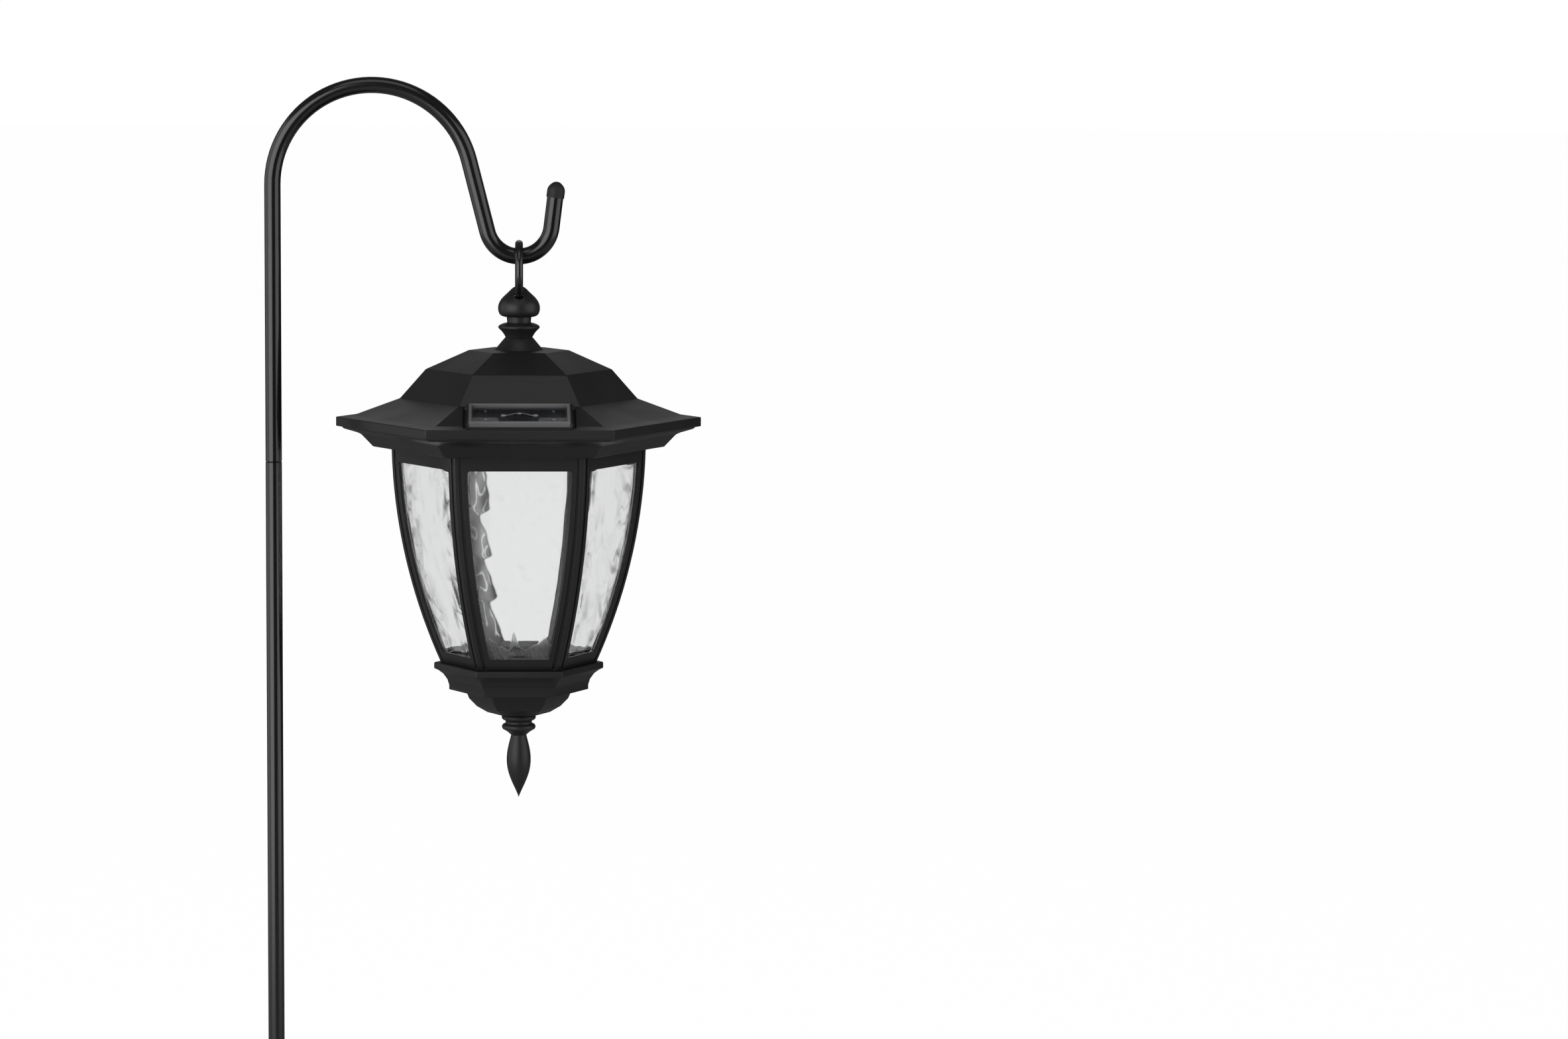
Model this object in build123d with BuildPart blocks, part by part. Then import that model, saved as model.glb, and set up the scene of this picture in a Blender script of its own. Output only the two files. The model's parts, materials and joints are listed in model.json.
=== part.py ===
"""Solar garden light: a hexagonal coach lantern that hangs by a ring from a thin shepherd's hook.

Millimetres. The origin is on the pole's axis at ground level, +Z is up, the hook reaches towards +X,
and the lantern's solar window faces -Y.
"""

from build123d import *
from math import atan2, cos, degrees, radians, sin, sqrt, tan
import os

os.makedirs("parts", exist_ok=True)

# ---- driving dimensions: pole and hook -------------------------------------------------------------
rod_r = 3.5                 # outside radius of the steel tube
rod_wall = 0.9
bore_r = rod_r - rod_wall
fit_gap = 0.05              # radial gap where one tube plugs into the next
seam_z = 395.0              # where the hook section plugs onto the pole
pole_joint_z = 130.0        # where the upper pole plugs onto the ground pole
spigot_len = 24.0
spigot_wall = 0.8
seam_chamfer = 0.3
spike_straight = 100.0      # straight stretch of the ground pole below ground level
spike_tip = 20.0            # length of its point
step_r = 2.6                # round step bar and side prong
step_z = 4.0                # height of the step bar's centreline
step_reach = 62.0           # from the pole's axis to the side prong
side_prong_end = -82.0      # where the side prong starts to taper
step_bend = 7.0
collar_r = 4.6              # bead on the pole that the step bar is welded to
arch_r = 42.6               # centreline radius of the big arch
arch_z = 513.9              # height of the arch's centre
lean = 14.4                 # how far the descending stretch leans from the vertical, degrees
lean_len = 31.4             # its length
crook_r = 14.0              # centreline radius of the small crook that holds the ring
prong_lean = 7.0            # outward lean of the upturned end, degrees
prong_len = 13.0

# ---- driving dimensions: lantern -------------------------------------------------------------------
crook_x = arch_r + (arch_r + crook_r) * cos(radians(lean)) + lean_len * sin(radians(lean))
crook_z = arch_z + (arch_r + crook_r) * sin(radians(lean)) - lean_len * cos(radians(lean))
lamp_x = crook_x            # the lantern hangs straight below the crook's centre
cos30 = cos(radians(30))
wall = 2.0

eave_r = 78.6               # circumradius of the roof's outer edge
eave_top = 414.4
eave_bottom = 410.4
tray_bottom = 401.5         # flat underside of the eave tray
floor_top = tray_bottom + wall
plateau_z = 443.3
cone_top_z = 448.8
cage_top = 401.3            # the cage runs just under the tray
cage_bottom = 308.0
base_top = 308.0
base_screw_circle = 15.5    # radius of the circle of screws that hold the base to the cage

bow_top = (401.5, 54.8)     # height and circumradius of the cage's bowed corner line
bow_mid = (361.0, 50.5)
bow_low = (308.0, 33.8)
cage_wall = 1.6
pane_thick = 1.8
pane_overlap = 2.0          # how far a pane reaches behind the frame round its opening
frame_strip = 5.4           # face width from the corner line to the opening
open_top = 395.2
open_bottom = 313.1


def level(z):
    """Horizontal plane at height z, centred on the lantern's axis."""
    return Plane(origin=(lamp_x, 0, z))


def radial(angle):
    """Upright half plane of the lantern at an angle: local x is the radius, local y is the height."""
    a = radians(angle)
    return Plane(origin=(lamp_x, 0, 0), x_dir=(cos(a), sin(a), 0), z_dir=(sin(a), -cos(a), 0))


def front(y=0):
    """Upright plane facing -Y: local x is X from the lantern's axis, local y is the height."""
    return Plane(origin=(lamp_x, y, 0), x_dir=(1, 0, 0), z_dir=(0, -1, 0))


lamp_axis = Axis((lamp_x, 0, 0), (0, 0, 1))


def hex_stack(rings):
    """A stack of hexagonal frustums from (circumradius, height) pairs, corners on +X and -X."""
    with BuildPart() as stack:
        for (low_r, low_z), (high_r, high_z) in zip(rings, rings[1:]):
            with BuildSketch(level(low_z)):
                RegularPolygon(low_r, 6)
            with BuildSketch(level(high_z)):
                RegularPolygon(high_r, 6)
            loft(ruled=True)
    return stack.part


def turned(points):
    """A solid of revolution about the lantern's axis from (radius, height) pairs."""
    with BuildPart() as lathe:
        with BuildSketch(radial(0)):
            with BuildLine():
                Polyline(*points, close=True)
            make_face()
        revolve(axis=lamp_axis)
    return lathe.part


def bow_radius(z):
    """Circumradius of the cage's outside at height z: one circular arc through three points."""
    (z1, r1), (z2, r2), (z3, r3) = bow_top, bow_mid, bow_low
    det = 2 * (z1 * (r2 - r3) + z2 * (r3 - r1) + z3 * (r1 - r2))
    s1, s2, s3 = z1 * z1 + r1 * r1, z2 * z2 + r2 * r2, z3 * z3 + r3 * r3
    centre_z = (s1 * (r2 - r3) + s2 * (r3 - r1) + s3 * (r1 - r2)) / det
    centre_r = (s1 * (z3 - z2) + s2 * (z1 - z3) + s3 * (z2 - z1)) / det
    reach = sqrt((z1 - centre_z) ** 2 + (r1 - centre_r) ** 2)
    return centre_r + sqrt(reach**2 - (z - centre_z) ** 2)


def barrel(inset, low, high):
    """The cage's six-sided bowed solid, its faces moved inwards by inset, between two heights."""
    heights = (low, (low + high) / 2, high)
    flats = [bow_radius(z) * cos30 - inset for z in heights]
    with BuildPart() as body:
        for turn in (0, 60, 120):
            a = radians(turn)
            side = Plane(origin=(lamp_x, 0, 0), x_dir=(-sin(a), cos(a), 0), z_dir=(cos(a), sin(a), 0))
            with BuildSketch(side):
                with BuildLine():
                    ThreePointArc(*[(flat, z) for flat, z in zip(flats, heights)])
                    Line((flats[2], high), (-flats[2], high))
                    ThreePointArc(*[(-flat, z) for flat, z in zip(flats, heights)][::-1])
                    Line((-flats[0], low), (flats[0], low))
                make_face()
            extrude(amount=90, both=True, mode=Mode.ADD if turn == 0 else Mode.INTERSECT)
    return body.part


def face_strip(margin, low, high, corner=0):
    """A slab through one face whose sides stay a margin in from the corner lines."""
    heights = (low, (low + high) / 2, high)
    halves = [bow_radius(z) / 2 - margin for z in heights]
    with BuildPart() as slab:
        with BuildSketch(front()):
            with BuildLine():
                ThreePointArc(*[(half, z) for half, z in zip(halves, heights)])
                Line((halves[2], high), (-halves[2], high))
                ThreePointArc(*[(-half, z) for half, z in zip(halves, heights)][::-1])
                Line((-halves[0], low), (halves[0], low))
            make_face()
            if corner:
                fillet(vertices(), corner)
        extrude(amount=75)
    return slab.part


def around(part, angle):
    """A copy of a part turned about the lantern's axis."""
    return part.rotate(lamp_axis, angle)


# ---- pole and hook -----------------------------------------------------------------------------------
def rim(part, z):
    """The tube's outer rim edge at height z."""
    circles = part.edges().filter_by(GeomType.CIRCLE)
    return circles.filter_by(lambda edge: abs(edge.radius - rod_r) < 0.01 and abs(edge.center().Z - z) < 0.01)


def tube_with_spigot(low, high):
    """Steel tube with a reduced end on top that plugs into the next section."""
    spigot_r = bore_r - fit_gap
    with BuildPart() as tube:
        with BuildSketch(Plane.XY.offset(low)):
            Circle(rod_r)
            Circle(bore_r, mode=Mode.SUBTRACT)
        extrude(amount=high - low)
        with BuildSketch(Plane.XY.offset(high - 6)):
            Circle(bore_r)
            Circle(spigot_r - spigot_wall, mode=Mode.SUBTRACT)
        extrude(amount=6)
        with BuildSketch(Plane.XY.offset(high)):
            Circle(spigot_r)
            Circle(spigot_r - spigot_wall, mode=Mode.SUBTRACT)
        extrude(amount=spigot_len)
        chamfer(tube.edges().sort_by(Axis.Z)[-1], 0.3)
        chamfer(rim(tube, high), seam_chamfer)
    return tube.part


prong_start = (crook_x + crook_r * cos(radians(prong_lean)), crook_z - crook_r * sin(radians(prong_lean)))
prong_dir = (sin(radians(prong_lean)), cos(radians(prong_lean)))
prong_end = (prong_start[0] + prong_len * prong_dir[0], prong_start[1] + prong_len * prong_dir[1])
lean_start = (arch_r + arch_r * cos(radians(lean)), arch_z + arch_r * sin(radians(lean)))
lean_end = (lean_start[0] + lean_len * sin(radians(lean)), lean_start[1] - lean_len * cos(radians(lean)))

with BuildPart() as hook_rod:
    with BuildLine(Plane.XZ):
        Line((0, seam_z), (0, arch_z))
        ThreePointArc((0, arch_z), (arch_r, arch_z + arch_r), lean_start)
        Line(lean_start, lean_end)
        ThreePointArc(lean_end, (crook_x, crook_z - crook_r), prong_start)
        Line(prong_start, prong_end)
    with BuildSketch(Plane.XY.offset(seam_z)):
        Circle(rod_r)
        Circle(bore_r, mode=Mode.SUBTRACT)
    sweep()
    chamfer(rim(hook_rod, seam_z), seam_chamfer)
hook_rod.part.label = "hook_rod"

cap_head_r = 3.85
cap_straight = 2.6
prong_plane = Plane(
    origin=(prong_end[0], 0, prong_end[1]),
    x_dir=(prong_dir[1], 0, -prong_dir[0]),
    z_dir=(0, -1, 0),
)
with BuildPart() as hook_tip_cap:
    with BuildSketch(prong_plane):
        with BuildLine():
            Polyline((0, -8), (bore_r - fit_gap, -8), (bore_r - fit_gap, 0), (cap_head_r, 0), (cap_head_r, cap_straight))
            Spline((cap_head_r, cap_straight), (2.3, 5.9), (0, 6.9), tangents=((0, 1), (-1, 0)))
            Line((0, 6.9), (0, -8))
        make_face()
    revolve(axis=Axis((prong_end[0], 0, prong_end[1]), (prong_dir[0], 0, prong_dir[1])))
hook_tip_cap.part.label = "hook_tip_cap"

with BuildPart() as upper_pole:
    add(tube_with_spigot(pole_joint_z, seam_z))
    chamfer(rim(upper_pole, pole_joint_z), seam_chamfer)
upper_pole.part.label = "upper_pole"

with BuildPart() as ground_pole:
    add(tube_with_spigot(-spike_straight, pole_joint_z))
    with BuildSketch(Plane.XY.offset(-spike_straight)):
        Circle(rod_r)
    with BuildSketch(Plane.XY.offset(-spike_straight - spike_tip)):
        Circle(0.6)
    loft()
    with BuildSketch(Plane.XY.offset(step_z - step_r)):
        Circle(collar_r)
        Circle(bore_r, mode=Mode.SUBTRACT)
    extrude(amount=2 * step_r)
ground_pole.part.label = "ground_pole"

with BuildPart() as step_prong:
    with BuildLine(Plane.XZ):
        Line((-rod_r, step_z), (-step_reach + step_bend, step_z))
        RadiusArc((-step_reach + step_bend, step_z), (-step_reach, step_z - step_bend), -step_bend)
        Line((-step_reach, step_z - step_bend), (-step_reach, side_prong_end))
    with BuildSketch(Plane(origin=(-rod_r, 0, step_z), z_dir=(-1, 0, 0))):
        Circle(step_r)
    sweep()
    with BuildSketch(Plane(origin=(-step_reach, 0, side_prong_end))):
        Circle(step_r)
    with BuildSketch(Plane(origin=(-step_reach, 0, side_prong_end - 14))):
        Circle(0.5)
    loft()
    with BuildSketch(Plane.XY.offset(step_z - step_r)):
        Circle(collar_r)
    extrude(amount=2 * step_r, mode=Mode.SUBTRACT)
step_prong.part.label = "step_prong"

# ---- hanging ring and eyelet finial --------------------------------------------------------------------
ring_wire_r = 1.7
ring_mean_r = 11.5
ring_gap = 0.12             # between the ring and the top of the hook
ring_z = crook_z - crook_r + rod_r + ring_gap - (ring_mean_r - ring_wire_r)
wire_z = ring_z - ring_mean_r    # centre of the ring's lowest stretch of wire
tunnel_r = 2.15             # the finial's curved tunnel round the ring
tunnel_drop = 0.3           # the finial hangs on the top of the wire
ball_z = wire_z - 4.0       # widest level of the ball

with BuildPart() as hanging_ring:
    with BuildSketch(Plane(origin=(lamp_x, 0, ring_z + ring_mean_r), x_dir=(1, 0, 0), z_dir=(0, 1, 0))):
        Circle(ring_wire_r)
    revolve(axis=Axis((lamp_x, 0, ring_z), (1, 0, 0)))
hanging_ring.part.label = "hanging_ring"

stud_r = 2.5
stud_low = 434.0
with BuildPart() as eyelet_finial:
    with BuildSketch(radial(0)):
        with BuildLine():
            Polyline((5.8, cone_top_z), (stud_r, cone_top_z), (stud_r, stud_low), (0, stud_low), (0, 470.9))
            Spline(
                (0, 470.9), (4.4, 468.4), (7.6, 465.2), (9.0, 461.7), (8.3, 458.7), (5.3, 457.5),
                tangents=((1, 0), (-1, -0.1)),
            )
            Line((5.3, 457.5), (5.1, 455.1))
            ThreePointArc((5.1, 455.1), (7.2, 454.6), (8.5, 453.9))
            ThreePointArc((8.5, 453.9), (8.9, 453.2), (8.6, 452.5))
            ThreePointArc((8.6, 452.5), (7.0, 450.8), (5.8, cone_top_z))
        make_face()
    revolve(axis=lamp_axis)
    with BuildSketch(Plane(origin=(lamp_x, 0, wire_z - tunnel_drop), x_dir=(1, 0, 0), z_dir=(0, 1, 0))):
        Circle(tunnel_r)
    revolve(axis=Axis((lamp_x, 0, ring_z - tunnel_drop), (1, 0, 0)), mode=Mode.SUBTRACT)
eyelet_finial.part.label = "eyelet_finial"

nut_thick = 4.0
roof_ceiling = plateau_z - wall
with BuildPart() as finial_nut:
    with BuildSketch(level(roof_ceiling - nut_thick)):
        RegularPolygon(4.6, 6)
        Circle(stud_r + fit_gap, mode=Mode.SUBTRACT)
    extrude(amount=nut_thick)
finial_nut.part.label = "finial_nut"

# ---- roof shell ------------------------------------------------------------------------------------------
crease_r, crease_z = 51.2, 422.4        # where the steep middle tier meets the low tier
flare_r, flare_z = 70.2, 415.4
roof_rings = [
    (eave_r, eave_bottom), (eave_r, eave_top), (flare_r, flare_z), (crease_r, crease_z),
    (40.1, 435.0), (21.5, plateau_z),
]
cavity_rings = [
    (eave_r - 2.2, eave_bottom), (eave_r - 2.2, eave_top - wall), (68.6, 413.3), (49.2, 420.3),
    (38.1, 432.7), (20.3, roof_ceiling),
]
boss_circle_r = 53.0
boss_angles = (0, 120, 240)
boss_r = 3.5
boss_top = 419.2
screw_r = 1.25

# Solar bezel: a low wedge on the front facet of the low tier, with a frame round its window.
bezel_top_y, bezel_top_z = -crease_r * cos30 + 0.8, 423.4
bezel_toe_y, bezel_toe_z = -64.6, 417.0
bezel_half = 22.2
bezel_len = sqrt((bezel_top_y - bezel_toe_y) ** 2 + (bezel_top_z - bezel_toe_z) ** 2)
bezel_slope = degrees(atan2(bezel_top_z - bezel_toe_z, bezel_top_y - bezel_toe_y))
groove = 1.2
panel_half = 21.3           # half the width of the window's frame
panel_len = bezel_len - 0.5
rail = 1.3                  # width of the frame's rails
rail_height = 0.55          # how far the frame stands proud of the wedge
window_half = panel_half - rail
window_len = panel_len - 2 * rail
window_plane = Plane(
    origin=(lamp_x, (bezel_top_y + bezel_toe_y) / 2, (bezel_top_z + bezel_toe_z) / 2),
    x_dir=(1, 0, 0),
    z_dir=(0, -sin(radians(bezel_slope)), cos(radians(bezel_slope))),
)
side_view = Plane(origin=(lamp_x, 0, 0), x_dir=(0, 1, 0), z_dir=(1, 0, 0))
glass_depth = 1.7           # from the bezel's top face to the ledge under the window
cell_depth = 3.2
bezel_depth = 4.7

with BuildPart() as roof_shell:
    add(hex_stack(roof_rings))
    with BuildSketch(side_view):
        with BuildLine():
            Polyline(
                (bezel_top_y - 1.6, 424.0), (bezel_top_y - 1.6, crease_z - 1.3), (-60.7, flare_z - 0.7),
                (bezel_toe_y, flare_z - 1.3), (bezel_toe_y, 424.0), close=True,
            )
        make_face()
    extrude(amount=bezel_half + groove, both=True, mode=Mode.SUBTRACT)
    add(hex_stack(cavity_rings), mode=Mode.SUBTRACT)
    with BuildSketch(side_view):
        with BuildLine():
            Polyline(
                (bezel_top_y, bezel_top_z), (bezel_toe_y, bezel_toe_z), (bezel_toe_y, 412.9),
                (bezel_toe_y + 2, bezel_toe_z + 0.6 - bezel_depth),
                (bezel_top_y - 1, bezel_top_z - 0.3 - bezel_depth), (bezel_top_y + 0.6, crease_z - 1.5), close=True,
            )
        make_face()
    extrude(amount=bezel_half, both=True)
    with BuildSketch(window_plane.offset(2)):
        with Locations((0, -1)):
            Rectangle(2 * (panel_half + fit_gap), panel_len + 2 + 2 * fit_gap)
    extrude(amount=-glass_depth - 2, mode=Mode.SUBTRACT)
    with BuildSketch(window_plane):
        Rectangle(2 * window_half - 1.4, window_len - 1.4)
    extrude(amount=-cell_depth, mode=Mode.SUBTRACT)
    with BuildSketch(window_plane):
        with Locations((-3, 0), (3, 0)):
            Circle(0.75)
    extrude(amount=-bezel_depth - 1, mode=Mode.SUBTRACT)
    with BuildSketch(level(floor_top)):
        with PolarLocations(boss_circle_r, 3):
            Circle(boss_r)
    extrude(amount=boss_top - floor_top)
    with BuildSketch(level(floor_top)):
        with PolarLocations(boss_circle_r, 3):
            Circle(screw_r + fit_gap)
    extrude(amount=11, mode=Mode.SUBTRACT)
    add(turned([(0, plateau_z - 0.5), (10.9, plateau_z - 0.5), (10.5, plateau_z), (5.9, cone_top_z), (0, cone_top_z)]))
    with BuildSketch(level(roof_ceiling - 1)):
        Circle(stud_r + fit_gap)
    extrude(amount=cone_top_z - roof_ceiling + 2, mode=Mode.SUBTRACT)
roof_shell.part.label = "roof_shell"

# ---- solar cell behind its window ------------------------------------------------------------------------
with BuildPart() as panel_frame:
    with BuildSketch(window_plane.offset(rail_height)):
        RectangleRounded(2 * panel_half, panel_len, 0.4)
        Rectangle(2 * window_half, window_len, mode=Mode.SUBTRACT)
    extrude(amount=-glass_depth - rail_height)
    chamfer(panel_frame.faces().sort_by(Axis((lamp_x, 0, 0), tuple(window_plane.z_dir)))[-1].edges(), 0.25)
panel_frame.part.label = "panel_frame"

window_thick = 1.2
cell_thick = 0.6
with BuildPart() as solar_window:
    with BuildSketch(window_plane.offset(-glass_depth)):
        RectangleRounded(2 * window_half - 0.2, window_len - 0.2, 0.6)
    extrude(amount=window_thick)
solar_window.part.label = "solar_window"

with BuildPart() as solar_cell:
    with BuildSketch(window_plane.offset(-cell_depth)):
        Rectangle(2 * window_half - 1.6, window_len - 1.6)
    extrude(amount=cell_thick)
solar_cell.part.label = "solar_cell"

terminal_r = 1.1
terminal_x = 6.8            # half the distance between the two terminals
terminal_rise = 2.6         # how far they sit above the window's middle, up the slope
with BuildPart() as cell_terminals:
    with BuildSketch(window_plane.offset(-cell_depth + cell_thick)):
        with Locations((-terminal_x, terminal_rise), (terminal_x, terminal_rise)):
            Circle(terminal_r)
    extrude(amount=0.6)
    fillet(cell_terminals.faces().sort_by(Axis.Z)[-2:].edges(), 0.4)
cell_terminals.part.label = "cell_terminals"

with BuildPart() as cell_rivets:
    with BuildSketch(window_plane.offset(-cell_depth + cell_thick)):
        with Locations((0, terminal_rise)):
            with GridLocations(28.6, 9.6, 2, 2):
                Circle(0.6)
    extrude(amount=0.4)
cell_rivets.part.label = "cell_rivets"

# ---- eave tray: underside of the roof, crown moulding and lamp floor ---------------------------------------
tray_rim_z = 411.4
tray_rings = [
    (62.7, tray_bottom), (67.6, 406.6), (68.3, 407.1), (70.0, 407.8), (75.5, 409.4),
    (eave_r - 2.4, eave_bottom - 0.2), (eave_r - 2.4, tray_rim_z),
]
tray_cavity = [
    (60.0, floor_top), (63.6, 408.2), (66.5, 409.0), (69.5, 409.6), (73.6, 410.8), (eave_r - 4.4, tray_rim_z),
]
skirt_r = 42.5              # bayonet skirt that the cage twists onto
skirt_wall = 1.9
skirt_low = 395.5
lug_angles = (30, 150, 270)
lug_half = 4.5              # half the angle of one lug
twist = 20.0                # how far the cage turns to unlock
lug_low, lug_high = 398.6, 400.0

battery_y = 17.5
battery_r = 7.1
well_half_x = 28.6
well_half_y = 7.6
well_wall = 1.5
well_top = 418.4
cover_thick = 1.6
lens_r = 9.0
post_spots = [(-14, -17), (14, -17)]
board_z = 408.0
board_thick = 1.6
board_y = -7.5
switch_spot = (9.0, -10.5)
switch_travel = 2.5

with BuildPart() as eave_tray:
    add(hex_stack(tray_rings))
    add(hex_stack(tray_cavity), mode=Mode.SUBTRACT)
    with BuildSketch(level(skirt_low)):
        Circle(skirt_r)
        Circle(skirt_r - skirt_wall, mode=Mode.SUBTRACT)
    extrude(amount=tray_bottom - skirt_low)
    for angle in lug_angles:
        with BuildSketch(radial(angle - lug_half - 0.6)):
            with Locations((skirt_r - skirt_wall / 2, (lug_low + lug_high) / 2)):
                Rectangle(skirt_wall + 1, lug_high - lug_low + 0.4)
        revolve(axis=lamp_axis, revolution_arc=2 * lug_half + twist + 1.2, mode=Mode.SUBTRACT)
        with BuildSketch(radial(angle + twist - lug_half - 0.6)):
            with Locations((skirt_r - skirt_wall / 2, (skirt_low + lug_low) / 2 - 0.2)):
                Rectangle(skirt_wall + 1, lug_low - skirt_low + 0.6)
        revolve(axis=lamp_axis, revolution_arc=2 * lug_half + 1.2, mode=Mode.SUBTRACT)
    with BuildSketch(level(floor_top)):
        with Locations((0, battery_y)):
            Rectangle(2 * (well_half_x + well_wall), 2 * (well_half_y + well_wall))
        with Locations(*post_spots):
            Circle(2.4)
    extrude(amount=board_z - floor_top)
    with BuildSketch(level(board_z)):
        with Locations((0, battery_y)):
            Rectangle(2 * (well_half_x + well_wall), 2 * (well_half_y + well_wall))
    extrude(amount=well_top + well_wall - board_z)
    with BuildSketch(level(tray_bottom)):
        with Locations((0, battery_y)):
            Rectangle(2 * well_half_x, 2 * well_half_y)
    extrude(amount=well_top - tray_bottom, mode=Mode.SUBTRACT)
    with BuildSketch(level(tray_bottom)):
        with Locations((0, battery_y)):
            Rectangle(2 * well_half_x + 2, 2 * well_half_y + 2)
    extrude(amount=cover_thick, mode=Mode.SUBTRACT)
    with BuildSketch(level(tray_bottom)):
        Circle(2.65)
        with Locations((switch_spot[0] + switch_travel / 2, switch_spot[1])):
            Rectangle(switch_travel + 2.6, 2.2)
        with PolarLocations(boss_circle_r, 3):
            Circle(screw_r + 0.35)
    extrude(amount=wall, mode=Mode.SUBTRACT)
    with BuildSketch(level(tray_bottom)):
        with PolarLocations(boss_circle_r, 3):
            Circle(3.1)
    extrude(amount=1.2, mode=Mode.SUBTRACT)
    with BuildSketch(level(board_z)):
        with Locations(*post_spots):
            Circle(0.9)
    extrude(amount=-4, mode=Mode.SUBTRACT)
    with BuildSketch(level(well_top)):
        with Locations((-20, battery_y - 6), (20, battery_y - 6)):
            Circle(0.8)
    extrude(amount=well_wall, mode=Mode.SUBTRACT)
eave_tray.part.label = "eave_tray"

with BuildPart() as roof_gasket:
    with BuildSketch(level(tray_rim_z)):
        RegularPolygon(eave_r - 2.4, 6)
        RegularPolygon(eave_r - 4.6, 6, mode=Mode.SUBTRACT)
    extrude(amount=eave_top - wall - tray_rim_z)
roof_gasket.part.label = "roof_gasket"

with BuildPart() as tray_screws:
    with BuildSketch(level(tray_bottom + 0.1)):
        with PolarLocations(boss_circle_r, 3):
            Circle(3.0)
    extrude(amount=1.1)
    with BuildSketch(level(tray_bottom + 1.2)):
        with PolarLocations(boss_circle_r, 3):
            Circle(screw_r)
    extrude(amount=9)
    with BuildSketch(level(tray_bottom + 0.1)):
        with PolarLocations(boss_circle_r, 3):
            Rectangle(3.6, 0.7)
            Rectangle(0.7, 3.6)
    extrude(amount=0.6, mode=Mode.SUBTRACT)
tray_screws.part.label = "tray_screws"

# ---- battery, contacts and cover -----------------------------------------------------------------------------
battery_z = tray_bottom + cover_thick + battery_r + 0.2
battery_start = -22.0
battery_len = 48.6
end_view = Plane(origin=(lamp_x, battery_y, battery_z), x_dir=(0, 1, 0), z_dir=(1, 0, 0))
with BuildPart() as battery:
    with BuildSketch(end_view.offset(battery_start)):
        Circle(battery_r)
    extrude(amount=battery_len)
    fillet(battery.edges(), 0.6)
    with BuildSketch(end_view.offset(battery_start + battery_len)):
        Circle(2.7)
    extrude(amount=1.2)
battery.part.label = "battery"

with BuildPart() as positive_contact:
    with BuildSketch(end_view.offset(battery_start + battery_len + 1.2)):
        Rectangle(11, 11)
    extrude(amount=0.5)
    with BuildSketch(end_view.offset(battery_start + battery_len + 1.2)):
        with Locations((-6, 6.0)):
            Rectangle(2, 3.4)
    extrude(amount=0.5)
positive_contact.part.label = "positive_contact"

coil_wire = 0.4
with BuildPart() as contact_spring:
    with BuildSketch(end_view.offset(-well_half_x + 0.05)):
        Rectangle(11, 11)
    extrude(amount=0.5)
    for turn in range(4):
        coil_x = lamp_x - well_half_x + 0.55 + 0.75 + 1.3 * turn
        coil_r = 5.0 - 0.6 * turn
        with BuildSketch(Plane(origin=(coil_x, battery_y + coil_r, battery_z), x_dir=(1, 0, 0), z_dir=(0, 0, 1))):
            Circle(coil_wire * 2 - 0.1)
        revolve(axis=Axis((coil_x, battery_y, battery_z), (1, 0, 0)))
contact_spring.part.label = "contact_spring"

with BuildPart() as battery_cover:
    with BuildSketch(level(tray_bottom)):
        with Locations((0, battery_y)):
            RectangleRounded(2 * well_half_x + 1.8, 2 * well_half_y + 1.8, 0.5)
    extrude(amount=cover_thick)
    with BuildSketch(level(tray_bottom)):
        with Locations((0, battery_y)):
            with GridLocations(3.0, 0, 5, 1):
                Rectangle(1.2, 9)
    extrude(amount=0.5, mode=Mode.SUBTRACT)
battery_cover.part.label = "battery_cover"

# ---- circuit board, lamp and switch --------------------------------------------------------------------------
lead_spots = [(-1.27, 0), (1.27, 0)]
solar_pads = [(-5, -15), (5, -15)]
battery_pads = [(-12, 1), (12, 1)]
wire_r = 0.6
with BuildPart() as circuit_board:
    with BuildSketch(level(board_z)):
        with Locations((0, board_y)):
            RectangleRounded(36, 24, 1.0)
        with Locations(*post_spots):
            Circle(1.0, mode=Mode.SUBTRACT)
        with Locations(*lead_spots):
            Circle(0.4, mode=Mode.SUBTRACT)
    extrude(amount=board_thick)
circuit_board.part.label = "circuit_board"

with BuildPart() as driver_parts:
    with BuildSketch(level(board_z + board_thick)):
        with Locations((-7, -7)):
            Rectangle(5, 4)
        with Locations((12, -8)):
            Circle(2.2)
    extrude(amount=1.8)
    with BuildSketch(level(board_z + board_thick)):
        with Locations((12, -8)):
            Circle(2.2)
    extrude(amount=4.5)
driver_parts.part.label = "driver_parts"

with BuildPart() as board_screws:
    with BuildSketch(level(board_z + board_thick)):
        with Locations(*post_spots):
            Circle(1.9)
    extrude(amount=1.2)
    with BuildSketch(level(board_z + board_thick)):
        with Locations(*post_spots):
            Circle(0.85)
    extrude(amount=-5)
board_screws.part.label = "board_screws"

with BuildPart() as led:
    with BuildSketch(level(floor_top + 0.05)):
        Circle(2.9)
    extrude(amount=1.0)
    with BuildSketch(level(floor_top + 0.05)):
        Circle(2.5)
    extrude(amount=-7.0)
    fillet(led.edges().sort_by(Axis.Z)[0], 2.4)
    with BuildSketch(level(floor_top + 1.05)):
        with Locations(*lead_spots):
            Circle(0.3)
    extrude(amount=board_z + board_thick + 0.6 - floor_top - 1.05)
led.part.label = "led"

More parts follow.
